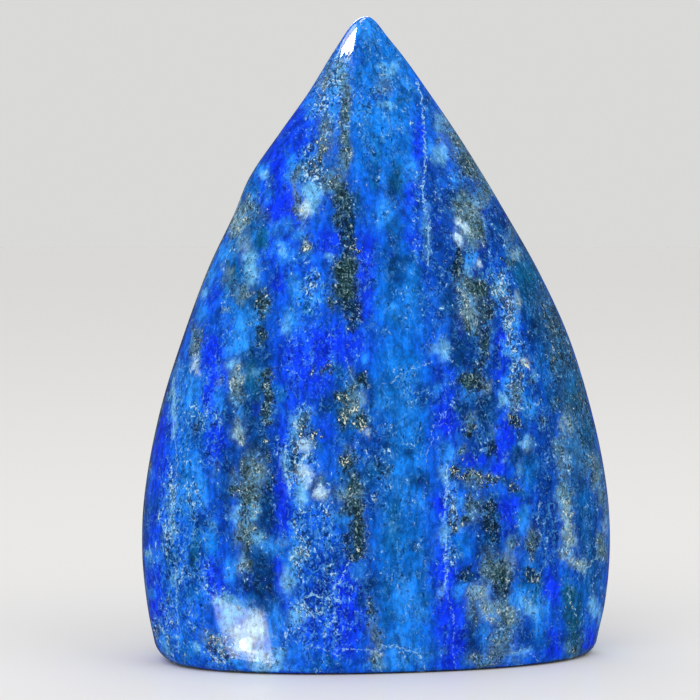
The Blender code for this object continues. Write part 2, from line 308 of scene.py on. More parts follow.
PATTERN = (
    # broad washes
    ("azure", 0.85, (384, 60, 30, 34), (384, 130, 36, 50),
     Streak(24, ((398, 370), (404, 440), (400, 520), (404, 600), (400, 655))), 0.7, (400, 300, 26, 60),
     0.5, Streak(12, ((190, 400), (186, 470), (192, 520)))),
    ("ultramarine", 0.9, Streak(13, ((448, 570), (448, 620), (450, 662))), (318, 360, 42, 34),
     0.85, Streak(16, ((346, 585), (350, 620), (340, 650))), 0.8, (342, 340, 26, 14),
     0.7, Streak(22, ((298, 118), (285, 150), (276, 200), (282, 245))),
     Streak(10, ((278, 420), (283, 480), (275, 540))), Streak(14, ((448, 400), (444, 440))),
     0.6, Streak(10, ((162, 420), (152, 500), (152, 580), (160, 630))), (300, 395, 18, 20),
     0.5, (310, 625, 12, 20)),
    ("deep", 0.85, Streak(20, ((466, 200), (470, 260), (472, 330), (476, 400), (478, 440))),
     0.8, Streak(15, ((502, 205), (520, 260), (530, 320), (542, 400), (545, 480), (545, 540))),
     Streak(9, ((437, 165), (438, 210), (438, 250), (444, 280))),
     Streak(16, ((488, 510), (492, 560), (500, 600))), Streak(13, ((574, 480), (584, 520), (586, 570))),
     0.7, Streak(14, ((380, 430), (372, 470), (372, 500)))),
    # The teal streaks along the right edge paint its grey-green haze: partly the stone's teal, partly a
    # painted reflection where that side curves away.
    ("teal", 0.8, Streak(17, ((520, 260), (545, 310), (562, 350), (575, 400), (582, 450))),
     0.7, Streak(15, ((250, 208), (244, 240), (242, 280), (252, 312))), 0.6, (318, 170, 24, 13),
     0.5, Streak(12, ((575, 450), (590, 520), (594, 590)))),
    ("shade", 0.8, (262, 530, 8, 14),
     Streak(17, ((256, 350), (250, 420), (258, 480), (262, 540), (262, 600))),
     0.6, Streak(8, ((228, 400), (226, 450), (226, 500)))),
    ("dark", 0.8, Streak(9, ((341, 192), (346, 230), (346, 300)))),
    # the tip
    ("deep", 0.95, (428, 104, 6, 11), 0.35, (366, 52, 13, 12), 0.3, (372, 88, 7, 10)),
    ("ultramarine", 0.9, (418, 145, 7, 24)),
    ("teal", 0.8, (404, 99, 10, 4), 0.4, (357, 72, 5, 14), (378, 150, 8, 14)),
    ("sky", 0.9, (386, 117, 4, 6), 0.8, (333, 92, 6, 10), (332, 108, 7, 6), (411, 90, 4, 8),
     0.75, (366, 25, 15, 14), 0.7, (404, 84, 4, 5), (363, 114, 7, 6), 0.6, (311, 106, 8, 9),
     0.5, (431, 150, 5, 10), 0.4, (397, 122, 9, 8)),
    ("grey", 0.95, (321, 146, 5, 14), (457, 140, 8, 14), 0.9, (325, 124, 7, 10),
     Streak(5, ((344, 74), (346, 95), (345, 118), (346, 140), (344, 168))), 0.85, (328, 76, 5, 12),
     0.6, (384, 86, 8, 6), 0.5, (331, 140, 5, 16)),
    ("olive", 0.97, (468, 164, 12, 14), 0.6, (345, 112, 4, 9), (346, 142, 4, 7)),
    ("shade", 0.6, (386, 110, 3, 2.5)),
    ("ash", 0.8, (323, 86, 4, 5), 0.6, (449, 118, 5, 6)),
    ("pale", 0.9, (390, 76, 6, 3), (386, 104, 7, 3), 0.75, (441, 156, 7, 8), 0.7, (340, 66, 6, 9),
     (381, 66, 5, 3), 0.65, (439, 121, 6, 10), 0.6, (395, 67, 5, 6)),
    # The white mark under the tip's left facet is partly a painted highlight, the sparkling lower end of
    # the gloss there.
    ("white", 0.8, (347, 59, 4, 3)),
    # left shoulder
    ("azure", 0.9, (251, 189, 8, 10), 0.7, (253, 238, 4, 7), 0.6, (232, 308, 8, 8)),
    ("ultramarine", 0.95, (328, 243, 12, 11), 0.9, (277, 165, 6, 14), (280, 284, 8, 12),
     0.85, (273, 196, 7, 18), (284, 207, 11, 18), (214, 290, 6, 10), 0.6, (208, 310, 6, 8)),
    ("deep", 0.7, (271, 180, 4, 5), 0.6, (316, 170, 9, 12), (327, 284, 5, 10), 0.5, (222, 340, 8, 10)),
    ("sky", 0.9, (291, 320, 8, 13), 0.85, (261, 170, 7, 5), (241, 330, 9, 20), 0.8, (290, 170, 5, 15),
     (225, 250, 11, 9), (210, 272, 6, 14), (282, 250, 8, 9), 0.7, (299, 256, 13, 4), (293, 286, 5, 12),
     (318, 299, 8, 6), 0.5, (276, 232, 8, 7), 0.4, (300, 296, 5, 8)),
    ("teal", 0.95, (262, 240, 7, 12), 0.85, (229, 276, 6, 17), 0.7, (308, 308, 5, 5),
     0.5, (303, 172, 6, 14)),
    ("grey", 0.85, (248, 205, 7, 8), (236, 234, 8, 6), 0.8, (244, 294, 8, 9),
     Streak(4, ((298, 168), (295, 190), (298, 214))), 0.7, (224, 307, 4, 5), 0.5, (262, 212, 6, 12),
     (302, 226, 3, 10), 0.4, (229, 286, 4, 9)),
    ("olive", 0.95, (306, 247, 6, 7), 0.9, (262, 303, 6, 13)),
    ("dark", 0.8, (247, 222, 4, 4), 0.7, (262, 330, 6, 16)),
    ("ash", 0.9, (237, 219, 10, 13)),
    ("pale", 0.9, (311, 191, 7, 7), (311, 203, 9, 8), 0.85, (251, 264, 6, 11), 0.8, (264, 177, 5, 4),
     (281, 249, 3, 4), (330, 258, 4, 3), 0.7, (252, 278, 6, 8), 0.6, (203, 294, 4, 6), (320, 191, 6, 8),
     0.5, (286, 325, 4, 8)),
    ("white", 0.85, (303, 205, 6, 5), 0.7, (232, 212, 3, 4), 0.5, (305, 246, 3, 4)),
    # dark column below the tip
    ("ultramarine", 0.9, Streak(9, ((365, 240), (366, 270), (364, 310)))),
    ("teal", 0.6, (354, 205, 6, 14)),
    ("grey", 0.9, (333, 184, 12, 12)),
    ("olive", 0.97, (344, 270, 12, 12), (347, 289, 12, 12), 0.95, (331, 306, 6, 8),
     0.8, (343, 202, 9, 14), 0.75, (336, 220, 4, 8), (354, 249, 4, 9)),
    ("dark", 0.97, (348, 232, 6, 14), (352, 310, 11, 11), 0.8, (354, 325, 8, 6)),
    # right of the middle
    ("ultramarine", 0.85, Streak(8, ((412, 178), (411, 205), (414, 245))), 0.6, (425, 275, 6, 14)),
    ("deep", 0.85, (490, 235, 8, 28), 0.7, (494, 308, 8, 10), 0.5, (444, 300, 6, 16)),
    ("azure", 0.7, (415, 282, 9, 22), 0.5, (410, 222, 8, 14)),
    ("teal", 0.9, (395, 184, 8, 18), 0.8, (530, 276, 8, 16), 0.7, (374, 184, 5, 8),
     0.6, (394, 226, 9, 14), 0.5, (394, 318, 7, 8)),
    ("sky", 0.8, (410, 172, 7, 11), (384, 213, 9, 13), 0.7, (456, 178, 5, 5), 0.5, (414, 298, 8, 8),
     (392, 307, 6, 8)),
    ("shade", 0.9, (486, 186, 8, 12), 0.85, (396, 262, 10, 12), (397, 281, 9, 9), (452, 208, 5, 14),
     (452, 298, 5, 14), 0.8, (501, 224, 8, 12), 0.75, (394, 242, 7, 7), 0.6, (374, 172, 5, 7),
     0.5, (392, 178, 4, 8)),
    ("dark", 0.97, (458, 262, 8, 17)),
    ("grey", 0.97, (463, 204, 13, 15), (466, 287, 9, 13), 0.95, (470, 222, 11, 12), (475, 236, 9, 14),
     0.85, (468, 328, 10, 7), 0.8, (468, 306, 10, 16), 0.7, (511, 232, 4, 9)),
    ("olive", 0.97, (480, 290, 10, 11), 0.85, (507, 265, 4, 4), 0.8, (485, 312, 8, 10),
     0.6, (480, 226, 4, 12), 0.5, (459, 268, 3, 5)),
    ("ash", 0.9, (517, 301, 5, 8), 0.85, (515, 254, 6, 5), (468, 311, 8, 11), 0.6, (476, 210, 6, 8),
     0.5, (470, 231, 5, 6)),
    ("sky", 0.75, (471, 260, 4, 8), 0.7, (513, 314, 4, 8)),
    ("pale", 0.85, (499, 287, 5, 9), 0.7, (470, 269, 3, 5),
     0.6, Streak(2, ((425, 204), (428, 222), (427, 262)))),
    ("white", 0.95, (463, 226, 5, 4), (459, 240, 5, 5), 0.8, (479, 266, 3, 3)),
    # middle height, left
    ("azure", 0.8, (278, 392, 8, 7), 0.6, (186, 372, 7, 8), (188, 408, 8, 8), (185, 478, 8, 20)),
    ("ultramarine", 0.95, (206, 398, 4, 12), Streak(8, ((211, 345), (214, 380), (209, 405))),
     0.9, (226, 370, 5, 14), (282, 488, 6, 12), 0.85, (215, 440, 10, 20), (284, 470, 5, 20),
     0.6, Streak(8, ((160, 410), (156, 440), (160, 470)))),
    ("deep", 0.9, (197, 428, 7, 14), 0.8, (276, 430, 5, 40), 0.6, (225, 462, 5, 10),
     0.5, (222, 420, 12, 10)),
    ("teal", 0.85, (252, 378, 8, 22)),
    ("sky", 0.85, (199, 376, 5, 4), (190, 390, 9, 11), (201, 488, 8, 14), 0.8, (240, 345, 10, 9),
     (241, 416, 5, 5), 0.6, (219, 398, 5, 10), (226, 352, 5, 8), (197, 465, 6, 14), 0.5, (283, 396, 5, 4),
     # The faint sky mark at (150, 470) on the left rim is a painted reflection, a pale line along the
     # edge.
     0.4, (150, 470, 4, 14)),
    ("shade", 0.97, (292, 462, 6, 12), 0.85, (253, 418, 8, 12), 0.8, (254, 446, 8, 10),
     0.6, (264, 356, 6, 14)),
    ("dark", 0.7, (270, 485, 6, 14), 0.6, (170, 392, 4, 8)),
    ("olive", 0.97, (250, 496, 9, 10), 0.95, (265, 440, 4, 5), (234, 488, 7, 7),
     0.9, Streak(5, ((265, 372), (266, 395), (267, 418))), 0.8, (268, 458, 4, 8), 0.7, (262, 335, 5, 8),
     0.6, (197, 350, 5, 8), (246, 470, 5, 16), 0.4, (196, 430, 3, 8)),
    ("grey", 0.97, (253, 470, 10, 16), 0.95, (236, 388, 7, 20), 0.9, (248, 492, 10, 10),
     0.85, (196, 342, 6, 18), 0.7, (234, 476, 5, 6), 0.5, (218, 382, 4, 6), 0.4, (176, 475, 4, 5),
     (214, 468, 3, 8)),
    ("ash", 0.9, (238, 433, 6, 10), 0.6, (240, 376, 5, 8), 0.4, (257, 474, 6, 8)),
    ("pale", 0.7, (232, 364, 7, 6), (285, 460, 2.5, 8), Streak(2.5, ((174, 385), (174, 410), (174, 432))),
     0.5, (288, 480, 3, 12), 0.4, (175, 370, 3, 22), (254, 372, 4, 5)),
    ("white", 0.95, (196, 366, 4, 5)),
    # pale cloud left of the middle
    ("sky", 0.7, (303, 462, 6, 6)),
    ("olive", 0.85, (303, 428, 6, 9), (315, 435, 4, 9)),
    ("shade", 0.8, (313, 490, 4, 10)),
    ("grey", 0.7, (321, 478, 5, 5), 0.6, (308, 418, 5, 5)),
    ("pale", 0.9, (302, 492, 5, 12), 0.6, (297, 418, 6, 8), (297, 434, 4, 8)),
    ("white", 0.97, (304, 476, 7, 8), 0.95, (321, 493, 6, 7), 0.9, (306, 446, 6, 7)),
    # dark cluster of pyrite, and what lies round it
    ("ultramarine", 0.5, (326, 430, 7, 12)),
    ("deep", 0.6, (312, 404, 8, 6), (336, 440, 8, 10)),
    ("azure", 0.6, (384, 392, 8, 6)),
    ("sky", 0.9, (381, 404, 8, 8), 0.8, (364, 356, 4, 6), (342, 518, 6, 10)),
    ("teal", 0.8, (352, 404, 18, 34), 0.7, (338, 372, 6, 10), 0.6, (375, 468, 8, 12),
     0.5, (350, 478, 16, 24)),
    ("grey", 0.95, (348, 493, 13, 8), 0.85, (352, 398, 6, 14), 0.7, (352, 501, 8, 6),
     0.6, (348, 450, 6, 4), 0.4, (350, 372, 3, 8)),
    ("shade", 0.95, (326, 408, 9, 8), 0.85, (388, 444, 4, 5)),
    ("dark", 0.97, (361, 380, 8, 9)),
    ("olive", 0.97, (347, 462, 9, 8), Streak(8.5, ((355, 508), (357, 530), (358, 550))),
     0.95, (344, 418, 5, 10), (363, 422, 7, 10), 0.85, (311, 369, 3, 3), (328, 372, 8, 3),
     (341, 396, 8, 6), (354, 482, 8, 12), 0.7, (388, 467, 4, 8), (343, 510, 6, 6), 0.6, (331, 364, 3, 4),
     0.5, (362, 382, 5, 6)),
    ("ash", 0.7, (353, 409, 6, 4), 0.6, (361, 400, 4, 6)),
    ("white", 0.6, (366, 432, 3, 4)),
    # bright column
    ("navy", 0.9, (440, 374, 5, 9), 0.7, (452, 430, 5, 8), 0.4, (440, 505, 4, 10)),
    ("deep", 0.7, (455, 430, 5, 8), 0.6, (424, 395, 14, 16), (434, 655, 6, 10), 0.4, (402, 570, 10, 8)),
    ("ultramarine", 0.97, (448, 424, 10, 14), (440, 505, 6, 12), 0.8, (448, 570, 5, 14),
     0.6, (450, 372, 5, 8), (440, 560, 8, 16)),
    ("teal", 0.6, (393, 530, 7, 24), 0.5, (395, 505, 6, 8), (424, 596, 5, 6), 0.3, (386, 605, 6, 30)),
    ("sky", 0.9, (447, 450, 9, 12), (459, 588, 7, 8), 0.8, (420, 618, 8, 6), 0.75, (405, 656, 18, 10),
     0.65, (407, 600, 11, 20), 0.6, (437, 388, 4, 8), (458, 500, 8, 6), 0.5, (416, 505, 8, 5),
     0.4, (400, 480, 8, 22), 0.3, (405, 410, 12, 22)),
    ("shade", 0.9, (407, 449, 4, 5), (418, 476, 8, 10), 0.85, (412, 546, 3.5, 4), 0.75, (434, 590, 4, 4)),
    ("pale", 0.8, (444, 350, 6, 8), 0.7, (446, 474, 4, 8), 0.6, (443, 535, 4, 8), (443, 590, 3, 8),
     0.5, (434, 352, 5, 5), (393, 526, 3, 4)),
    # right side above the bronze streak
    ("ultramarine", 0.97, (502, 345, 5, 20), (478, 462, 16, 6), 0.95, (498, 470, 6, 6),
     Streak(8, ((508, 425), (505, 445), (502, 470))), 0.9, (500, 368, 6, 12), 0.6, (519, 335, 4, 12)),
    ("deep", 0.8, (480, 440, 10, 8), 0.7, (531, 415, 4, 5), 0.5, (536, 340, 9, 20)),
    ("azure", 0.8, (527, 405, 6, 14), (530, 470, 9, 14), 0.6, (548, 375, 5, 24), 0.5, (541, 350, 4, 20)),
    ("sky", 0.75, (516, 360, 5, 10), (510, 384, 6, 6), 0.7, (512, 328, 4, 10), (474, 395, 3, 5),
     0.6, (509, 350, 4, 10), (466, 395, 6, 4), 0.5, (532, 402, 3, 8)),
    ("shade", 0.95, (457, 345, 7, 24), (485, 408, 11, 14), 0.8, (516, 455, 4, 10),
     0.7, (470, 346, 14, 18)),
    ("dark", 0.95, (492, 450, 5, 12)),
    ("olive", 0.97, (472, 478, 12, 5), 0.95, (471, 380, 12, 8), (455, 471, 5, 4), (512, 420, 5, 4),
     0.9, (485, 345, 7, 14), 0.85, (470, 431, 5, 7), (512, 488, 9, 5), 0.6, (532, 380, 4, 4),
     0.5, (472, 326, 12, 8)),
    ("grey", 0.95, (517, 392, 5, 8), 0.85, (470, 420, 7, 7), (492, 480, 8, 4), 0.8, (461, 452, 4, 6),
     (513, 408, 4, 10), (526, 451, 4, 5), 0.6, (462, 450, 5, 7)),
    ("ash", 0.85, (486, 390, 5, 7)),
    ("pale", 0.9, (503, 399, 5, 7), 0.8, (526, 443, 6, 5), 0.6, (534, 374, 2, 5), (492, 432, 4, 5),
     (506, 462, 2, 4), 0.5, (509, 355, 3, 3), (521, 468, 3, 7)),
    ("white", 0.85, (524, 364, 4, 3)),
    # right rim
    ("azure", 0.6, (564, 590, 5, 20), 0.5, (580, 435, 6, 24), (580, 500, 6, 10), 0.4, (586, 590, 6, 14)),
    ("ultramarine", 0.97, (550, 590, 9, 18), (552, 645, 10, 14), (588, 642, 9, 12)),
    ("deep", 0.6, (555, 560, 5, 14), (597, 520, 5, 20), (600, 490, 4, 12)),
    ("olive", 0.97, (592, 463, 6, 7), Streak(5.5, ((570, 595), (572, 625), (574, 652))),
     0.9, (555, 400, 4, 10), 0.85, (553, 362, 4, 16), 0.8, (579, 642, 5, 8), 0.7, (540, 423, 5, 5)),
    ("teal", 0.85, Streak(10, ((572, 595), (574, 625), (574, 655)))),
    ("grey", 0.85, (560, 446, 6, 12), (601, 545, 5, 10), 0.7, (551, 328, 5, 10), (566, 408, 5, 5),
     0.6, (573, 652, 9, 8), (580, 385, 5, 20), 0.5, (591, 395, 4, 14)),
    ("ash", 0.95, (577, 563, 9, 6), Streak(6, ((565, 492), (567, 515), (568, 545))),
     0.8, (566, 424, 5, 9), (564, 556, 6, 6), 0.7, (607, 515, 3, 18), 0.5, (567, 462, 4, 8)),
    ("pale", 0.85, (592, 606, 4, 10), 0.6, (599, 616, 3, 9), 0.5, (560, 500, 5, 10)),
    # foot, left
    ("azure", 0.85, (214, 540, 10, 20), 0.8, (188, 652, 8, 10), (252, 597, 8, 6), 0.7, (195, 592, 9, 10)),
    ("ultramarine", 0.97, (213, 576, 11, 13), (222, 588, 8, 8), 0.85, (154, 572, 6, 14),
     (156, 610, 8, 12), (286, 520, 6, 20), (278, 570, 5, 14), (285, 605, 5, 8), 0.5, (222, 535, 4, 30),
     (172, 625, 6, 10)),
    ("deep", 0.85, (198, 516, 8, 8), 0.5, (226, 520, 5, 20), (196, 570, 6, 16), (222, 650, 8, 8)),
    ("teal", 0.85, (196, 550, 6, 22), 0.5, (152, 506, 8, 8), (308, 545, 5, 14)),
    ("sky", 0.85, (240, 662, 8, 6), 0.8, (270, 546, 7, 7), 0.75, (232, 570, 8, 10), (152, 596, 4, 5),
     (166, 638, 6, 10), 0.7, (190, 500, 12, 12), (292, 565, 8, 10), 0.65, (272, 628, 8, 20),
     0.6, (150, 561, 5, 7), (181, 634, 4, 8), (290, 540, 12, 5), 0.5, (160, 555, 4, 8), (200, 654, 8, 5),
     0.4, (178, 612, 3, 20)),
    ("shade", 0.97, (262, 580, 8, 22), 0.95, (265, 508, 8, 16), 0.9, (256, 555, 10, 8),
     0.85, (172, 560, 6, 14), 0.8, (249, 585, 7, 8), 0.6, (170, 598, 5, 6), 0.5, (170, 580, 4, 6)),
    ("dark", 0.85, (155, 630, 4, 4), 0.7, (212, 645, 5, 5)),
    ("olive", 0.9, (250, 567, 5, 8), 0.8, (247, 508, 8, 10), (247, 545, 6, 10)),
    ("grey", 0.95, (243, 532, 8, 12), 0.7, (207, 635, 7, 5), 0.5, (282, 543, 5, 4)),
    ("ash", 0.85, (219, 638, 3, 4), 0.8, (243, 565, 5, 10)),
    # The pale mark at (147, 554) on the left rim and the small one at (150, 632) at the chip are painted
    # reflections.
    ("pale", 0.97, (147, 554, 5, 4), 0.95, (254, 510, 4, 4), (197, 648, 4, 4), 0.9, (259, 538, 7, 8),
     0.85, (297, 555, 4, 10), 0.8, (176, 580, 3, 4), (232, 608, 12, 8), (218, 601, 8, 4),
     0.75, (296, 615, 8, 10), (284, 580, 5, 12), 0.7, (150, 632, 2, 5), (228, 622, 8, 12),
     Streak(2.5, ((172, 495), (171, 520), (173, 540))), 0.65, (236, 514, 5, 8), 0.6, (165, 500, 4, 3),
     (167, 648, 4, 5), (254, 618, 7, 8), 0.5, (164, 535, 2, 8), 0.4, (211, 523, 4, 6)),
    # The white marks, and the pale ones above at (218, 601), (232, 608), (228, 622) and (254, 618), are
    # partly pale calcite and partly a painted reflection of the glare low on the left.
    ("white", 0.9, (244, 646, 9, 8), 0.85, (246, 634, 10, 12), 0.8, (258, 628, 7, 13),
     0.75, (260, 657, 11, 8), 0.5, (236, 632, 8, 8)),
    # foot, middle
    ("navy", 0.97, (320, 588, 14, 9), 0.8, (324, 566, 10, 12), (316, 606, 8, 7)),
    ("deep", 0.6, (366, 570, 6, 10), 0.5, (327, 560, 14, 16), (318, 606, 10, 8)),
    ("ultramarine", 0.9, (345, 602, 10, 28), 0.8, (350, 570, 5, 8)),
    ("azure", 0.7, (330, 662, 20, 7), (462, 545, 10, 10)),
    ("teal", 0.5, (328, 655, 5, 8)),
    ("sky", 0.7, (358, 570, 7, 7)),
    ("shade", 0.9, (370, 585, 9, 12)),
    ("dark", 0.95, (465, 575, 7, 8)),
    ("grey", 0.9, (375, 658, 7, 9), 0.85, (373, 624, 4, 10), (376, 640, 5, 8), (460, 528, 6, 5),
     0.8, (452, 510, 4, 12)),
    ("olive", 0.95, (370, 606, 6, 9), (452, 528, 5, 4), (465, 518, 6, 6)),
    ("white", 0.9, (376, 650, 6, 2)),
    # foot, right
    ("ultramarine", 0.97, (509, 512, 10, 16), 0.85, (458, 632, 8, 28)),
    ("deep", 0.85, (550, 520, 8, 36), (527, 636, 12, 8)),
    ("azure", 0.8, (530, 590, 10, 10), 0.6, (527, 562, 4, 10), (540, 632, 8, 10), 0.5, (536, 562, 6, 8)),
    ("shade", 0.9, (488, 545, 10, 14), (474, 622, 8, 10), 0.8, (472, 645, 8, 14)),
    ("dark", 0.95, (490, 520, 8, 22), (529, 574, 9, 8)),
    ("grey", 0.97, (490, 570, 9, 14), 0.9, (506, 606, 8, 14), 0.85, (514, 543, 5, 8), (530, 540, 6, 14),
     0.8, (472, 610, 6, 12), (480, 658, 10, 6), 0.75, (474, 508, 8, 14)),
    ("olive", 0.95, (502, 576, 9, 18), 0.85, (536, 579, 4, 5), 0.7, (532, 550, 4, 8),
     0.6, (472, 500, 8, 6)),
    ("ash", 0.95, (478, 594, 9, 9), 0.9, (490, 610, 8, 10), 0.4, (508, 562, 8, 10)),
    ("grey", 0.95, (500, 642, 12, 14), 0.9, (508, 622, 10, 12)),
    ("sky", 0.97, (519, 602, 8, 10), 0.95, (540, 612, 7, 16), 0.8, (485, 632, 4, 12),
     0.75, (523, 522, 6, 12)),
    ("pale", 0.85, (530, 608, 8, 8), 0.6, (521, 653, 12, 3), 0.4, (510, 543, 3, 12), (514, 662, 8, 3)),
    # smaller marks over all these
    ("grey", 0.7, Streak(9, ((448, 120), (468, 150), (488, 185))),
     # This grey streak and the shade and dark streaks below run along the right edge: partly the stone's
     # grey, partly painted shade darkening the rim.
     0.35, Streak(13, ((548, 300), (566, 360), (578, 420), (590, 470)))),
    ("shade", 0.4, Streak(11, ((530, 290), (548, 340), (560, 400)))),
    ("dark", 0.5, Streak(12, ((552, 315), (572, 370), (588, 430)))),
    ("deep", 0.5, Streak(9, ((424, 170), (426, 240), (430, 320)))),
    ("navy", 0.95, (457, 434, 6, 10), 0.8, (506, 527, 6, 7), (497, 342, 4, 12)),
    ("deep", 0.9, (442, 304, 5, 12), (544, 565, 6, 10), 0.8, (498, 360, 5, 8), (500, 272, 4, 4),
     (497, 384, 5, 4), 0.6, (184, 407, 5, 8)),
    # Of these shade marks, those at the rims, at (598, 472), (604, 509), (146, 526) and (600, 596), are
    # painted shade that darkens the edges against the polish's bright reflection there.
    ("shade", 0.97, (451, 302, 7, 13), (463, 340, 7, 12), (293, 463, 7, 9), 0.95, (461, 408, 6, 9),
     (490, 398, 6, 6), (486, 420, 7, 7), (318, 444, 4, 8), 0.9, (515, 452, 5, 10), (504, 482, 8, 5),
     (472, 403, 5, 4), (473, 579, 6, 6), (324, 480, 4, 5), (360, 600, 4, 8), (506, 323, 5, 7),
     0.85, (536, 334, 7, 16), (520, 432, 5, 8), (529, 460, 6, 8), (489, 432, 5, 5), (428, 486, 5, 12),
     0.8, (456, 189, 8, 6), (448, 193, 5, 10), (391, 196, 6, 9), (481, 254, 5, 5), (526, 499, 5, 7),
     (464, 487, 5, 4), (343, 532, 4, 8), 0.75, (409, 264, 4, 8), 0.7, (598, 472, 5, 10), (458, 307, 5, 7),
     (530, 646, 8, 6), 0.6, (604, 509, 4, 9), (146, 526, 5, 18), (340, 524, 5, 10), (523, 402, 4, 6),
     0.5, (570, 378, 6, 14), (474, 664, 8, 4), (402, 356, 5, 6), 0.4, (600, 596, 4, 8),
     0.35, (472, 306, 5, 7)),
    ("teal", 0.85, (535, 594, 5, 7), 0.8, (516, 495, 7, 4), 0.7, (519, 517, 6, 6), (546, 646, 6, 8),
     (522, 587, 6, 5), 0.6, (565, 488, 5, 8), (543, 582, 5, 6), (574, 390, 7, 22), (590, 430, 6, 20)),
    ("dark", 0.9, (481, 366, 7, 5), (345, 544, 5, 6), (352, 554, 7, 5), (516, 421, 5, 6),
     (491, 482, 6, 3), 0.85, (477, 388, 8, 4)),
    # The grey marks at the right rim, at (604, 550), (603, 496) and (598, 476), are partly the stone's
    # grey and partly painted shade against the rim's reflection.
    ("grey", 0.95, (250, 528, 7, 10), 0.9, (604, 550, 4, 12), (603, 496, 4, 10), (486, 664, 12, 4),
     0.85, (598, 476, 5, 14), (561, 470, 5, 9), 0.8, (484, 198, 6, 8), (474, 484, 10, 4),
     0.7, (441, 140, 5, 6), (492, 655, 8, 6), (566, 487, 6, 10), (320, 480, 5, 4)),
    ("sky", 0.9, (419, 613, 7, 8), 0.8, (298, 236, 6, 8), (203, 313, 5, 8), (280, 550, 6, 6),
     (369, 664, 5, 4), (300, 667, 14, 3), 0.7, (287, 224, 6, 6), (425, 658, 8, 5), (238, 664, 10, 4),
     0.6, (271, 192, 4, 8), (257, 323, 4, 8), (224, 291, 5, 8), 0.5, (293, 652, 8, 8), (398, 640, 9, 12)),
    # The first pale mark lies on the top edge of the glare low on the left: partly a painted reflection.
    ("pale", 0.9, (226, 598, 8, 3), 0.8, (292, 577, 4, 8), (268, 665, 16, 4), 0.7, (278, 656, 6, 9),
     (381, 665, 5, 3), 0.6, (340, 85, 4, 8)),
    ("ash", 0.8, (507, 610, 6, 6), 0.7, (245, 247, 5, 8), 0.5, (226, 272, 4, 8)),
)

# Where pyrite grains crowd together.
PYRITE = (
    0.95, (306, 247, 5, 6), (265, 440, 5, 5), (269, 457, 3, 3), (311, 369, 3, 3), (353, 408, 7, 5),
    (363, 425, 6, 10), (456, 471, 5, 4), (472, 479, 14, 4), (526, 366, 5, 4), (452, 528, 5, 4),
    0.9, (492, 480, 8, 4), (572, 607, 2, 8), 0.85, (321, 146, 4, 14), (344, 420, 5, 8), (346, 462, 9, 8),
    (303, 430, 5, 8), (316, 434, 4, 9), 0.8, (323, 88, 4, 5), (301, 205, 5, 6), (254, 510, 5, 5),
    0.75, (354, 248, 4, 9), (331, 366, 6, 6), (343, 396, 7, 8), (358, 549, 7, 6), (512, 420, 5, 4),
    0.7, (327, 168, 6, 5), (462, 450, 5, 7), (215, 638, 8, 5), (536, 579, 4, 5), 0.65, (512, 488, 9, 5),
    (592, 463, 6, 7), 0.6, (327, 78, 5, 10), (326, 120, 5, 8), (332, 182, 12, 10), (197, 345, 5, 16),
    (268, 585, 4, 8), 0.55, (531, 546, 5, 12), 0.5, (296, 188, 3, 18), (334, 212, 4, 14),
    (242, 226, 12, 14), (244, 492, 12, 10), (355, 395, 5, 10), (516, 390, 5, 6), (555, 400, 4, 10),
    (248, 547, 8, 14), (602, 545, 4, 8), (370, 606, 5, 8), 0.45, (471, 380, 11, 8),
    0.4, (345, 115, 4, 36), (345, 275, 10, 18), (238, 386, 6, 18), (266, 395, 4, 24), (357, 525, 6, 20),
    (417, 476, 5, 8), (553, 362, 4, 16), (155, 630, 4, 4), (490, 568, 9, 14), (574, 640, 5, 14),
    (472, 226, 12, 20), 0.35, (250, 470, 8, 14), (388, 467, 4, 8), (474, 300, 14, 26), (485, 345, 6, 14),
    0.3, (229, 276, 5, 16), (252, 632, 10, 10), (262, 658, 12, 8), (500, 600, 12, 22), (466, 160, 12, 16),
)

# Where pale flecks crowd together in the blue.
FLECKS = (
    1.0, (312, 165, 16, 20), (300, 540, 8, 40), (222, 648, 16, 16), (300, 450, 14, 40),
    Streak(9, ((497, 275), (512, 330), (520, 400))), 0.8, (330, 90, 20, 50), (170, 530, 9, 60),
    (450, 520, 8, 60), 0.7, (312, 290, 18, 22), (160, 640, 20, 20), (265, 655, 16, 12),
    0.6, (325, 530, 18, 35), 0.5, (185, 560, 30, 90), (320, 605, 36, 50), 0.35, (200, 410, 32, 60),
    0.3, (378, 105, 28, 50), 0.25, (215, 420, 8, 24), (322, 360, 36, 36), (425, 240, 14, 80),
)

# How much of each kind of colour is dark matrix, pale calcite, and pale flecks.
TRAITS = {
    "ultramarine": (0.00, 0.00, 0.05),
    "deep": (0.08, 0.00, 0.25),
    "azure": (0.05, 0.05, 0.20),
    "sky": (0.00, 0.20, 0.30),
    "teal": (0.10, 0.00, 0.15),
    "pale": (0.08, 0.60, 0.35),
    "white": (0.05, 1.00, 0.20),
    "grey": (0.62, 0.20, 0.50),
    "ash": (0.55, 0.70, 0.60),
    "shade": (0.00, 0.00, 0.08),
    "navy": (0.00, 0.00, 0.10),
    "dark": (0.80, 0.00, 0.35),
    "olive": (1.00, 0.00, 0.50),
}
EDGE_STEEPNESS = 5.4  # how abruptly a mark ends at its edge
STEEPEST_FALL = 30.0  # enough for none of the mark to be left
# Waves of the marks' uneven edges: wavelength in mm, and shift in pixels.
EDGE_WAVES = ((3.6, 3.6), (1.6, 3.4), (0.7, 2.4))
UPRIGHT = 1.6  # how much further the edges are shifted up and down than across
# Each mark is read twice, shifted further either way, and the two readings are speckled together.
SPLIT_WAVE = 2.2  # in mm
SPLIT_SHIFT = 3.0  # in pixels
SPLIT_PLACE = 0.8  # metres away, so that these waves differ from the edges' own

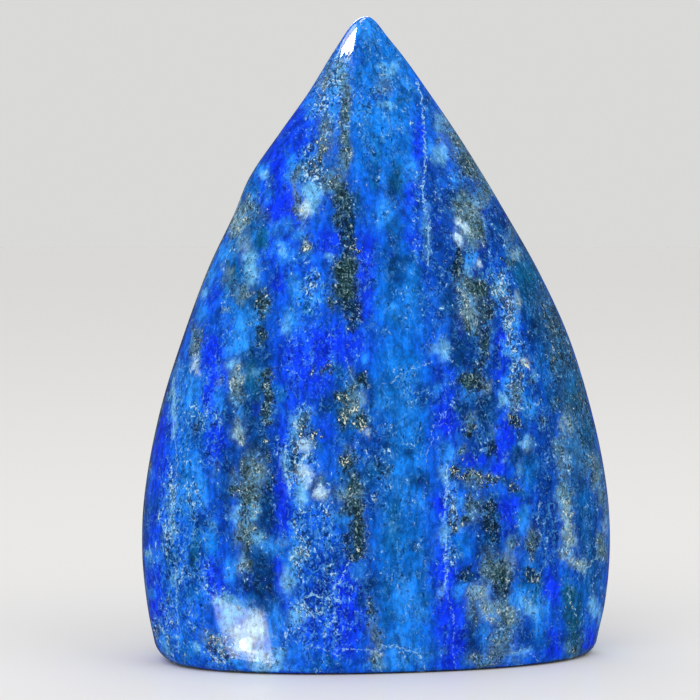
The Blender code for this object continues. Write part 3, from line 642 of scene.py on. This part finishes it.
# Fine pale veins: width in pixels, strength, and route by column and row.
Vein = namedtuple("Vein", "width strength route")
VEINS = (
    Vein(1.6, 0.9, ((417, 82), (420, 92), (421, 100))),
    Vein(1.1, 0.75, ((422, 112), (424, 128), (425, 146), (425, 168), (422, 190), (425, 206), (430, 222),
        (428, 242), (428, 262))),
    Vein(0.6, 0.7, ((386, 384), (393, 381), (401, 374), (410, 371), (416, 368), (430, 362))),
    Vein(1.0, 1.0, ((443, 414), (447, 410), (452, 405))),
    Vein(0.6, 0.6, ((443, 414), (441, 420), (437, 425), (432, 427), (433, 440), (428, 450), (426, 459))),
    Vein(0.5, 0.5, ((442, 419), (449, 427), (450, 434))),
    Vein(0.6, 0.5, ((346, 360), (350, 370), (354, 380))),
    Vein(1.2, 0.8, ((286, 452), (284, 466), (288, 478), (289, 492))),
    Vein(0.9, 0.7, ((540, 505), (537, 520), (541, 535))),
    Vein(1.0, 0.8, ((447, 468), (446, 480), (446, 500), (444, 520), (447, 540), (444, 556), (447, 570),
        (445, 586))),
    Vein(0.7, 0.45, ((445, 586), (449, 600), (453, 615), (455, 630), (452, 645), (455, 665))),
    Vein(1.2, 0.7, ((174, 380), (174, 410), (173, 436))),
    Vein(0.9, 0.5, ((175, 436), (177, 470), (172, 495), (171, 515), (173, 540))),
    Vein(0.9, 0.55, ((175, 560), (176, 580), (177, 610), (178, 650))),
    Vein(0.7, 0.8, ((597, 558), (590, 564), (585, 571))),
    Vein(0.6, 0.7, ((598, 572), (592, 578), (594, 592))),
    Vein(0.7, 0.9, ((570, 599), (573, 606), (575, 613))),
    Vein(1.2, 0.9, ((347, 566), (342, 577), (338, 584), (332, 590), (331, 597), (338, 601))),
    Vein(1.2, 0.9, ((331, 597), (322, 600), (313, 593), (308, 596))),
    Vein(1.0, 0.8, ((325, 603), (322, 612))),
    Vein(1.0, 0.85, ((300, 603), (306, 610), (316, 617), (322, 623), (328, 625), (334, 620), (335, 612))),
    Vein(0.9, 0.8, ((314, 646), (325, 650), (336, 655))),
    Vein(0.9, 0.7, ((342, 650), (352, 648), (362, 651), (370, 650))),
    Vein(1.3, 0.9, ((370, 650), (376, 652), (384, 646), (398, 647))),
    Vein(0.9, 0.7, ((398, 647), (410, 651), (420, 656), (424, 666))),
    Vein(1.0, 0.7, ((376, 656), (380, 668))),
    Vein(0.8, 0.8, ((516, 653), (524, 649), (532, 654), (538, 661))),
    Vein(0.8, 0.9, ((225, 228), (231, 232))),
)
NO_VEIN = 99.0  # pixels, for places far from every vein


def distance_to_route(column, row, route):
    nearest = np.full(len(column), 1e9)
    for (c0, r0), (c1, r1) in zip(route, route[1:]):
        along_c, along_r = c1 - c0, r1 - r0
        length2 = along_c ** 2 + along_r ** 2
        t = np.clip(((column - c0) * along_c + (row - r0) * along_r) / length2, 0.0, 1.0)
        distance = np.hypot(column - c0 - t * along_c, row - r0 - t * along_r)
        nearest = np.minimum(nearest, distance)
    return nearest


def covers_of(marks, column, row):
    """For each mark in turn, how much of it lies at each place, from 0 to its strength."""
    strength = 1.0
    for mark in marks:
        if isinstance(mark, float):
            strength = mark
            continue
        if isinstance(mark, Streak):
            reach = distance_to_route(column, row, mark.route) / mark.half_width
        else:
            middle_column, middle_row, half_width, half_height = mark
            reach = np.hypot((column - middle_column) / half_width, (row - middle_row) / half_height)
        fall = np.clip((reach - 1.0) * EDGE_STEEPNESS, -STEEPEST_FALL, STEEPEST_FALL)
        yield strength / (1.0 + np.exp(fall))


def paint(column, row):
    """Colour, matrix, calcite, flecks and pyrite at each place, as columns of one array."""
    layers = np.zeros((len(column), 7))
    layers[:, :3] = ROYAL
    for kind, *marks in PATTERN:
        target = np.concatenate([COLOURS[kind], TRAITS[kind]])
        for cover in covers_of(marks, column, row):
            layers[:, :6] += cover[:, None] * (target - layers[:, :6])
    for layer, marks in ((5, FLECKS), (6, PYRITE)):
        for cover in covers_of(marks, column, row):
            layers[:, layer] = np.maximum(layers[:, layer], cover)
    return layers


def vein_layer(column, row):
    """Signed distance from the nearest vein, its plain distance, its width and its strength."""
    layer = np.tile((NO_VEIN, NO_VEIN, 1.0, 0.0), (len(column), 1))
    for vein in VEINS:
        for (c0, r0), (c1, r1) in zip(vein.route, vein.route[1:]):
            along = np.array((c1 - c0, r1 - r0))
            length = np.hypot(*along)
            side = ((column - c0) * along[1] - (row - r0) * along[0]) / length
            distance = distance_to_route(column, row, ((c0, r0), (c1, r1)))
            nearer = distance < layer[:, 1]
            layer[nearer, 0] = side[nearer]
            layer[nearer, 1] = distance[nearer]
            layer[nearer, 2] = vein.width
            layer[nearer, 3] = vein.strength
    return layer


# The other sides carry on the front's bands: these say where in its pattern, in pixels, they take
# their marks. The right and left sides show a column at mid-depth and run on from there, the back
# is the front mirrored, and the base shows a row at mid-depth. The rows shift down towards the tip.
RIGHT_COLUMN, RIGHT_SHIFT = 252.0, 60.0
LEFT_COLUMN, LEFT_SHIFT = 462.0, 40.0
BACK_MIRROR, BACK_SHIFT = 752.0, 90.0
BASE_ROW = 470.0
# Where one side's reading gives way to the next: how far the surface faces that side's way.
FRONT_BORDER = (0.08, 0.26)
BACK_BORDER = (0.38, 0.62)
BASE_BORDER = (0.60, 0.80)
BORDER_WAVE = 2.4  # in mm
BORDER_REACH = 0.12  # how far the uneven borders stray
FRONT_BORDER_SHARE = 0.5  # how much of that the front's border does
BORDER_PLACE = 0.3  # metres away, so that these waves differ from the marks' own
LEAST_SHARE = 0.001
# Painted shade: a dark line where the stone's rounded foot meets the floor, standing in for the contact
# shadow there; the flat base itself is free of it.
FOOT_SHADE = srgb(5, 9, 26)
FOOT_SHADE_HEIGHT = 0.32 * MM
FOOT_SHADE_EDGE = (1.2 * FOOT_SHADE_HEIGHT, 0.8 * FOOT_SHADE_HEIGHT)
FOOT_SHADE_UNDERSIDE = (0.995, 0.96)


def readings(points, column, row):
    """The place in the front's pattern that each point shows, for each side that it may belong to."""
    depth = points[:, 1] / PIXEL
    top_down = 1.0 - row / PICTURE_SIZE
    return {
        "front": (column, row),
        "right": (RIGHT_COLUMN + depth, row + RIGHT_SHIFT * top_down),
        "left": (LEFT_COLUMN - depth, row + LEFT_SHIFT * top_down),
        "back": (BACK_MIRROR - column, row + BACK_SHIFT * top_down),
        "base": (column, BASE_ROW + depth),
    }


def side_shares(points, normals):
    """How much each side's reading counts at each point; the borders between them are uneven."""
    towards = np.array(VIEW_POINT) - points
    towards /= np.linalg.norm(towards, axis=1)[:, None]
    uneven = waves(points + BORDER_PLACE, BORDER_WAVE)[:, 0] * BORDER_REACH
    facing = (normals * towards).sum(axis=1)
    front = smooth_step(facing + uneven * FRONT_BORDER_SHARE, *FRONT_BORDER)
    back = smooth_step(-(normals @ np.array(TO_VIEWER)) + uneven, *BACK_BORDER)
    side = (1.0 - front) * (1.0 - back)
    right = np.where(points[:, 0] > APEX_ACROSS, side, 0.0)
    base = smooth_step(-normals[:, 2] + uneven, *BASE_BORDER)
    shares = {"front": front, "right": right, "left": side - right, "back": back * (1.0 - front)}
    shares = {name: share * (1.0 - base) for name, share in shares.items()}
    shares["base"] = base
    return shares


def store(mesh, name, columns):
    layer = mesh.attributes.new(name, "FLOAT_COLOR", "POINT")
    layer.data.foreach_set("color", columns.ravel())


def paint_stone(mesh):
    """Gives the mesh its pattern, read twice with slightly different edges, and its veins."""
    count = len(mesh.vertices)
    points = np.empty(count * 3)
    normals = np.empty(count * 3)
    mesh.vertices.foreach_get("co", points)
    mesh.vertices.foreach_get("normal", normals)
    points = points.reshape(-1, 3)
    normals = normals.reshape(-1, 3)
    drift = sum(waves(points, wavelength) * shift for wavelength, shift in EDGE_WAVES)
    split = waves(points + SPLIT_PLACE, SPLIT_WAVE) * SPLIT_SHIFT
    sources = readings(points, *picture_places(points))
    shares = side_shares(points, normals)
    # painted shade along the foot: how much of the dark line each point takes
    foot = smooth_step(points[:, 2], *FOOT_SHADE_EDGE)
    foot *= smooth_step(-normals[:, 2], *FOOT_SHADE_UNDERSIDE)
    for reading, way in (("a", 1.0), ("b", -1.0)):
        layers = np.zeros((count, 7))
        for name, (column, row) in sources.items():
            here = shares[name] > LEAST_SHARE
            moved_column = (column + drift[:, 0] + way * split[:, 0])[here]
            moved_row = (row + (drift[:, 1] + way * split[:, 1]) * UPRIGHT)[here]
            layers[here] += paint(moved_column, moved_row) * shares[name][here][:, None]
        # the painted foot shade darkens the colour and clears the traits there
        layers[:, :3] += (FOOT_SHADE - layers[:, :3]) * foot[:, None]
        layers[:, 3:] *= (1.0 - foot)[:, None]
        store(mesh, "wash_" + reading, layers[:, [0, 1, 2, 5]])  # the flecks are its fourth column
        store(mesh, "traits_" + reading, layers[:, [3, 4, 6, 6]])
    veins = np.tile((NO_VEIN, NO_VEIN, 1.0, 0.0), (count, 1))
    for name, (column, row) in sources.items():
        here = shares[name] > 0.5
        veins[here] = vein_layer(column[here], row[here])
    store(mesh, "veins", veins)


# ---------------------------------------------------------------- the stone's material
class Nodes:
    """Short ways to write a material's nodes. Sizes are in millimetres."""

    def __init__(self, material):
        material.use_nodes = True
        self.tree = material.node_tree
        self.shader = self.tree.nodes["Principled BSDF"]

    def add(self, kind, values=(), **settings):
        node = self.tree.nodes.new(kind)
        for name, setting in settings.items():
            setattr(node, name, setting)
        for socket, value in dict(values).items():
            self.set(node.inputs[socket], value)
        return node

    def set(self, socket, value):
        if isinstance(value, bpy.types.NodeSocket):
            self.tree.links.new(value, socket)
        elif isinstance(value, np.ndarray):
            socket.default_value = (*value, 1.0)
        else:
            socket.default_value = value

    def attribute(self, name):
        outputs = self.add("ShaderNodeAttribute", attribute_name=name).outputs
        return outputs["Color"], outputs["Alpha"]

    def split(self, colour):
        return self.add("ShaderNodeSeparateColor", {0: colour}).outputs

    def math(self, operation, first, second=0.0):
        return self.add("ShaderNodeMath", {0: first, 1: second}, operation=operation).outputs[0]

    def plus(self, first, second):
        return self.math("ADD", first, second)

    def times(self, first, second):
        return self.math("MULTIPLY", first, second)

    def band(self, name, value):
        low, high, to_low, to_high = BANDS[name]
        sockets = {"Value": value, "From Min": low, "From Max": high, "To Min": to_low, "To Max": to_high}
        return self.add("ShaderNodeMapRange", sockets, interpolation_type="SMOOTHSTEP").outputs[0]

    def mix(self, share, first, second):
        sockets = {0: share, 6: first, 7: second}
        return self.add("ShaderNodeMix", sockets, data_type="RGBA").outputs[2]

    def tint(self, colour, factor):
        return self.add("ShaderNodeVectorMath", {0: colour, "Scale": factor}, operation="SCALE").outputs[0]

    def noise(self, name):
        size, detail, roughness, stretch, twist, seed = NOISES[name]
        place = self.add("ShaderNodeTexCoord").outputs["Object"]
        sockets = {"Vector": place, "Scale": (1 / MM, 1 / MM, 1 / MM / stretch)}
        sockets["Location"] = tuple(shift * seed for shift in SEED_SHIFT)
        millimetres = self.add("ShaderNodeMapping", sockets).outputs[0]
        sockets = {"Vector": millimetres, "Scale": 1.0 / size}
        sockets.update({"Detail": detail, "Roughness": roughness, "Distortion": twist})
        return self.add("ShaderNodeTexNoise", sockets).outputs[0]


# Size in mm, detail, roughness, stretch upwards, twist and seed of each noise.
NOISES = {
    "speckle": (0.65, 4.0, 0.70, 1.3, 0.0, 12),
    "breakup": (1.10, 8.0, 0.74, 1.3, 0.0, 4),
    "clouds": (2.40, 7.0, 0.68, 1.8, 0.0, 3),
    "streaks": (0.80, 6.0, 0.62, 4.5, 0.0, 1),
    "grain": (0.55, 3.0, 0.70, 1.5, 0.8, 2),
    "blotches": (1.50, 4.0, 0.62, 1.7, 0.7, 15),
    "dust": (2.20, 4.0, 0.65, 1.5, 0.0, 8),
    "light flecks": (0.60, 2.0, 0.60, 1.3, 1.3, 7),
    "dark flecks": (0.60, 2.0, 0.60, 1.3, 1.3, 9),
    "calcite": (0.90, 7.0, 0.72, 1.0, 0.0, 6),
    "mottle": (0.56, 3.0, 0.62, 1.3, 1.5, 5),
    "vein wobble": (0.70, 4.0, 0.70, 1.0, 0.0, 13),
    "vein gaps": (0.60, 3.0, 0.60, 1.0, 0.0, 14),
    "ore": (0.55, 2.0, 0.55, 1.6, 1.6, 11),
}
SEED_SHIFT = (17.3, -9.1, 5.7)  # in mm for each step of the seed
# Where each band starts and ends on its input, and what it gives there.
BANDS = {
    "speckle": (0.47, 0.53, 0.0, 1.0),
    "edge": (0.25, 0.75, -0.7, 0.7),
    "matrix": (0.36, 0.58, 0.0, 1.0),
    "sky clouds": (0.53, 0.68, 0.0, 0.24),
    "violet clouds": (0.47, 0.32, 0.0, 0.28),
    "grain": (0.36, 0.64, -0.30, 0.36),
    "grain among flecks": (0.0, 0.6, 0.5, 1.1),
    "streaks": (0.35, 0.65, 0.78, 1.24),
    "blotches": (0.36, 0.64, 0.72, 1.32),
    "dust": (0.35, 0.65, -0.19, -0.02),
    "soft flecks": (0.42, 0.62, 0.0, 0.60),
    "soft flecks by crowding": (0.0, 0.45, 0.45, 1.0),
    "bright flecks": (0.64, 0.70, 0.0, 0.90),
    "dark flecks": (0.58, 0.66, 0.0, 1.0),
    "calcite": (0.6, 1.2, 0.0, 1.0),
    "dark crumbs": (0.40, 0.58, 0.22, 1.30),
    "crumbs in calcite": (0.0, 1.0, -0.01, 0.10),
    "pale crumbs": (0.54, 0.61, 0.0, 0.6),
    "bright crumbs": (0.63, 0.68, 0.0, 0.95),
    "vein wobble": (0.2, 0.8, -2.4, 2.4),
    "vein": (1.0, 0.4, 0.0, 1.0),
    "vein reach": (5.0, 3.5, 0.0, 1.0),
    "vein gaps": (0.40, 0.56, 0.0, 1.0),
    "ore": (0.0, 0.9, -0.25, 0.02),
    "pyrite rim": (0.49, 0.54, 0.0, 1.0),
    "pyrite gold": (0.575, 0.60, 0.0, 1.0),
    "polish": (0.3, 0.7, 0.05, 0.10),
}
SKY_BLUE = srgb(40, 140, 250)
VIOLET_BLUE = srgb(16, 30, 205)
PALE_FLECK = srgb(84, 172, 246)
BRIGHT_FLECK = srgb(196, 232, 255)
PALE_CRUMB = srgb(132, 166, 172)
BRIGHT_CRUMB = srgb(235, 242, 236)
CALCITE = srgb(176, 216, 242)
VEIN_WHITE = srgb(160, 218, 255)
# Pyrite: its pale brass, made near white as a painted glint.
PYRITE_WITH_GLINT = srgb(232, 246, 236)
PYRITE_RIM = srgb(6, 20, 22)
# How strongly the parts show, and how the surface is polished and pitted.
FLECK_CROWDING = 0.22
DARK_FLECK_COVER = 0.85
DARK_FLECK_TONE = 0.18
CALCITE_COVER = 0.7
MATRIX_COVER = 0.97
PYRITE_RIM_COVER = 0.8
PYRITE_METALLIC = 0.10
MATRIX_ROUGHNESS = 0.10
GRAIN_PITS = 0.15
PIT_DEPTH = 0.02 * MM
PIT_STRENGTH = 0.5
POLISH_IOR = 1.5
POLISH_SPECULAR = 0.45


def lapis_material():
    material = bpy.data.materials.new("lapis_lazuli")
    nodes = Nodes(material)
    speckled = nodes.band("speckle", nodes.noise("speckle"))
    wash_a, flecks_a = nodes.attribute("wash_a")
    wash_b, flecks_b = nodes.attribute("wash_b")
    wash = nodes.mix(speckled, wash_a, wash_b)
    flecks = nodes.times(nodes.plus(flecks_a, flecks_b), 0.5)
    traits = nodes.mix(speckled, nodes.attribute("traits_a")[0], nodes.attribute("traits_b")[0])
    matrix, calcite, pyrite = nodes.split(traits)[:3]
    matrix_edge = nodes.plus(matrix, nodes.band("edge", nodes.noise("breakup")))
    matrix_cover = nodes.band("matrix", matrix_edge)

    # blue ground: clouds of two other blues, upright streaks, and a fine grain
    clouds = nodes.noise("clouds")
    colour = nodes.mix(nodes.band("sky clouds", clouds), wash, SKY_BLUE)
    colour = nodes.mix(nodes.band("violet clouds", clouds), colour, VIOLET_BLUE)
    streaks = nodes.noise("streaks")
    grain = nodes.noise("grain")
    grit = nodes.times(nodes.band("grain", grain), nodes.band("grain among flecks", flecks))
    tone = nodes.plus(nodes.band("streaks", streaks), grit)
    tone = nodes.times(tone, nodes.band("blotches", nodes.noise("blotches")))
    colour = nodes.tint(colour, tone)

    # flecks in the blue, crowded here and there
    dust = nodes.band("dust", nodes.noise("dust"))
    dust = nodes.plus(dust, nodes.times(flecks, FLECK_CROWDING))
    light = nodes.plus(nodes.noise("light flecks"), dust)
    soft = nodes.times(nodes.band("soft flecks", light), nodes.band("soft flecks by crowding", flecks))
    colour = nodes.mix(soft, colour, PALE_FLECK)
    colour = nodes.mix(nodes.band("bright flecks", light), colour, BRIGHT_FLECK)
    dark = nodes.band("dark flecks", nodes.plus(nodes.noise("dark flecks"), dust))
    colour = nodes.mix(nodes.times(dark, DARK_FLECK_COVER), colour, nodes.tint(wash, DARK_FLECK_TONE))

    # pale calcite
    calcite_edge = nodes.plus(calcite, nodes.band("edge", nodes.noise("calcite")))
    calcite_cover = nodes.band("calcite", calcite_edge)
    colour = nodes.mix(nodes.times(calcite_cover, CALCITE_COVER), colour, CALCITE)

    # matrix: dark crumbs between pale ones
    mottle = nodes.noise("mottle")
    crumbs = nodes.tint(wash, nodes.band("dark crumbs", mottle))
    pale = nodes.plus(mottle, nodes.band("crumbs in calcite", calcite))
    crumbs = nodes.mix(nodes.band("pale crumbs", pale), crumbs, PALE_CRUMB)
    crumbs = nodes.mix(nodes.band("bright crumbs", pale), crumbs, BRIGHT_CRUMB)
    colour = nodes.mix(nodes.times(matrix_cover, MATRIX_COVER), colour, crumbs)

    # fine pale veins, uneven and broken
    vein_colour, vein_strength = nodes.attribute("veins")
    vein_side, vein_distance, vein_width = nodes.split(vein_colour)[:3]
    wobble = nodes.band("vein wobble", nodes.noise("vein wobble"))
    across = nodes.math("ABSOLUTE", nodes.plus(vein_side, wobble))
    line = nodes.band("vein", nodes.math("DIVIDE", across, vein_width))
    line = nodes.times(line, nodes.band("vein reach", vein_distance))
    line = nodes.times(nodes.times(line, nodes.band("vein gaps", nodes.noise("vein gaps"))), vein_strength)
    colour = nodes.mix(line, colour, VEIN_WHITE)

    # pyrite grains, each in a dark rim, near white with a painted glint
    ore_edge = nodes.plus(nodes.noise("ore"), nodes.band("ore", pyrite))
    rim = nodes.band("pyrite rim", ore_edge)
    gold = nodes.band("pyrite gold", ore_edge)
    colour = nodes.mix(nodes.times(rim, PYRITE_RIM_COVER), colour, PYRITE_RIM)
    colour = nodes.mix(gold, colour, PYRITE_WITH_GLINT)

    shader = nodes.shader
    nodes.set(shader.inputs["Base Color"], colour)
    nodes.set(shader.inputs["Metallic"], nodes.times(gold, PYRITE_METALLIC))
    roughness = nodes.plus(nodes.times(matrix_cover, MATRIX_ROUGHNESS), nodes.band("polish", streaks))
    nodes.set(shader.inputs["Roughness"], roughness)
    shader.inputs["IOR"].default_value = POLISH_IOR
    shader.inputs["Specular IOR Level"].default_value = POLISH_SPECULAR
    pits = nodes.plus(nodes.times(matrix_cover, mottle), nodes.times(grain, GRAIN_PITS))
    bump = nodes.add("ShaderNodeBump", {"Height": pits, "Distance": PIT_DEPTH, "Strength": PIT_STRENGTH})
    nodes.set(shader.inputs["Normal"], bump.outputs[0])
    return material


# ---------------------------------------------------------------- floor, light
FLOOR_GREY = srgb(250, 249, 248)
FLOOR_POLISH = 0.10
SKY = (0.80, 0.80, 0.79, 1.0)
BACKGROUND_STRENGTH = 0.871  # as seen directly: the tone of the far floor, so that no horizon shows
SKY_STRENGTH = 1.0  # on the stone and the floor
ROOM_STRENGTH = 0.08  # as seen in their polish
FLOOR_RADIUS = 4.0
FLOOR_CORNERS = 128
FLOOR_POLISH_ROUGHNESS = 0.12
MIDDLE = Vector((0.0, 0.0, HEIGHT / 2.0))
BOX_DISTANCE = 0.9
# Boxes of light that face the stone's middle: (name, azimuth, elevation, width, height, radiance).
# The soft ones light it. The gloss ones are seen only in its polish, and hardly from the front.
SOFT_BOXES = (
    ("key", -40.0, 45.0, 0.60, 0.60, 1.5),
    ("fill", 45.0, 40.0, 0.60, 0.60, 0.9),
)
GLOSS_BOXES = (
    ("gloss_top", 180.0, 75.0, 0.60, 0.30, 9.0),
    ("gloss_back", 180.0, 34.0, 0.50, 0.24, 7.0),
)
# White cards close to the stone, seen only in its polish. Those of a plane share its middle, the
# point it faces and its first direction, in mm; each is (name, across, up, width, height, radiance).
TIP_PLANE = ((-13.5, -2.0, 107.5), (-4.6, -2.0, 96.2), (-6.4, 4.3, -7.0))
TIP_CARDS = (
    ("tip_1", -0.8, 1.3, 2.8, 10.2, 40.0),
    ("tip_2", 2.0, -0.1, 2.8, 7.4, 40.0),
    ("tip_3", 4.8, -1.5, 2.8, 4.6, 40.0),
    ("tip_haze", 3.5, -6.9, 9.0, 6.2, 6.0),
)
# The bright patch low on the left shows strips that lie one behind another along the floor, each
# turned to face it. Their ends are places along the strip, and how these shift per mm inwards.
GLARE_START = (-29.7, -36.2, 0.2)
GLARE_ALONG = (-0.977, 0.21, 0.0)
GLARE_SEEN_TOWARDS = (-36.0, -25.0)  # azimuth and elevation at which the patch shows them
GLARE_STRIPS = 14
GLARE_PITCH = 1.5
GLARE_FIRST_END = (-0.2, -0.29)
GLARE_LAST_END = (22.3, -0.965)
GLARE_RADIANCE = 5.5
# Round lights at its brightest: (along, inwards, width, height, radiance).
GLARE_CORES = ((1.9, 15.0, 2.2, 1.6, 13.0), (0.9, 13.4, 3.0, 0.9, 5.0), (-0.6, 16.6, 3.6, 0.4, 7.0))


def add_floor():
    bpy.ops.mesh.primitive_circle_add(vertices=FLOOR_CORNERS, radius=FLOOR_RADIUS, fill_type="NGON")
    floor = bpy.context.object
    floor.name = "floor"
    material = bpy.data.materials.new("floor")
    nodes = Nodes(material)
    nodes.shader.inputs["Base Color"].default_value = (*FLOOR_GREY, 1.0)
    nodes.shader.inputs["Roughness"].default_value = 1.0
    nodes.shader.inputs["Specular IOR Level"].default_value = 0.0
    polish = nodes.add("ShaderNodeBsdfGlossy", {"Roughness": FLOOR_POLISH_ROUGHNESS})
    sockets = {0: FLOOR_POLISH, 1: nodes.shader.outputs[0], 2: polish.outputs[0]}
    both = nodes.add("ShaderNodeMixShader", sockets)
    nodes.set(nodes.tree.nodes["Material Output"].inputs["Surface"], both.outputs[0])
    floor.data.materials.append(material)
    floor.visible_glossy = False


def direction(azimuth, elevation):
    """Unit vector towards an azimuth, from the front (-Y) round by the right, and an elevation."""
    turn, lift = math.radians(azimuth), math.radians(elevation)
    return Vector((math.sin(turn) * math.cos(lift), -math.cos(turn) * math.cos(lift), math.sin(lift)))


polished = bpy.data.collections.new("polished")  # what the lights for the polish show in


def add_light(name, place, aim, along, size, radiance, in_polish, shape="RECTANGLE"):
    """A flat light of a given brightness. One for the polish shows in reflections and lights nothing."""
    data = bpy.data.lights.new(name, "AREA")
    data.shape = shape
    data.size, data.size_y = size
    data.energy = radiance * math.pi * size[0] * size[1]
    light = bpy.data.objects.new(name, data)
    bpy.context.collection.objects.link(light)
    light.location = place
    backwards = (place - aim).normalized()
    first = (along - backwards * along.dot(backwards)).normalized()
    axes = Matrix((first, backwards.cross(first), backwards)).transposed()
    light.rotation_mode = "QUATERNION"
    light.rotation_quaternion = axes.to_quaternion()
    light.visible_glossy = in_polish
    light.visible_diffuse = not in_polish
    if in_polish:
        light.light_linking.receiver_collection = polished


def add_world():
    """A pale studio, dimmer where only its reflection is seen, which keeps the blues deep."""
    world = bpy.data.worlds.new("studio")
    bpy.context.scene.world = world
    world.use_nodes = True
    links = world.node_tree.links
    background = world.node_tree.nodes["Background"]
    background.inputs["Color"].default_value = SKY
    path = world.node_tree.nodes.new("ShaderNodeLightPath")
    to_polish = world.node_tree.nodes.new("ShaderNodeMix")
    to_polish.inputs["A"].default_value = SKY_STRENGTH
    to_polish.inputs["B"].default_value = ROOM_STRENGTH
    links.new(path.outputs["Is Glossy Ray"], to_polish.inputs["Factor"])
    to_camera = world.node_tree.nodes.new("ShaderNodeMix")
    to_camera.inputs["B"].default_value = BACKGROUND_STRENGTH
    links.new(path.outputs["Is Camera Ray"], to_camera.inputs["Factor"])
    links.new(to_polish.outputs["Result"], to_camera.inputs["A"])
    links.new(to_camera.outputs["Result"], background.inputs["Strength"])


def add_glare():
    along = Vector(GLARE_ALONG).normalized()
    inwards = along.cross(Vector((0.0, 0.0, 1.0)))
    facing = -direction(*GLARE_SEEN_TOWARDS)
    facing = (facing - along * facing.dot(along)).normalized()
    strips = []
    for number in range(GLARE_STRIPS):
        depth = (number + 0.5) * GLARE_PITCH
        ends = [place + shift * depth for place, shift in (GLARE_FIRST_END, GLARE_LAST_END)]
        strips.append((sum(ends) / 2.0, depth, ends[1] - ends[0], GLARE_PITCH * facing.z, GLARE_RADIANCE))
    for shape, cards in (("RECTANGLE", strips), ("ELLIPSE", GLARE_CORES)):
        for across, depth, width, height, radiance in cards:
            place = (Vector(GLARE_START) + along * across + inwards * depth) * MM
            size = (width * MM, height * MM)
            add_light("glare", place, place + facing * MM, along, size, radiance, True, shape)


def add_boxes():
    along = Vector((1.0, 0.0, 0.0))
    for boxes, in_polish in ((SOFT_BOXES, False), (GLOSS_BOXES, True)):
        for name, azimuth, elevation, width, height, radiance in boxes:
            place = MIDDLE + direction(azimuth, elevation) * BOX_DISTANCE
            add_light(name, place, MIDDLE, along, (width, height), radiance, in_polish)


def add_tip_cards():
    middle, aim, along = (Vector(value) * MM for value in TIP_PLANE)
    outwards = (middle - aim).normalized()
    first = (along - outwards * along.dot(outwards)).normalized()
    second = outwards.cross(first)
    for name, across, up, width, height, radiance in TIP_CARDS:
        shift = (first * across + second * up) * MM
        add_light(name, middle + shift, aim + shift, first, (width * MM, height * MM), radiance, True)


add_camera()
add_world()
add_boxes()
add_tip_cards()
add_glare()
add_floor()
stone = build_stone()
polished.objects.link(stone)
paint_stone(stone.data)
stone.data.materials.append(lapis_material())
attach(stone, "root")
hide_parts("stone")
bpy.context.scene.view_settings.view_transform = "Standard"
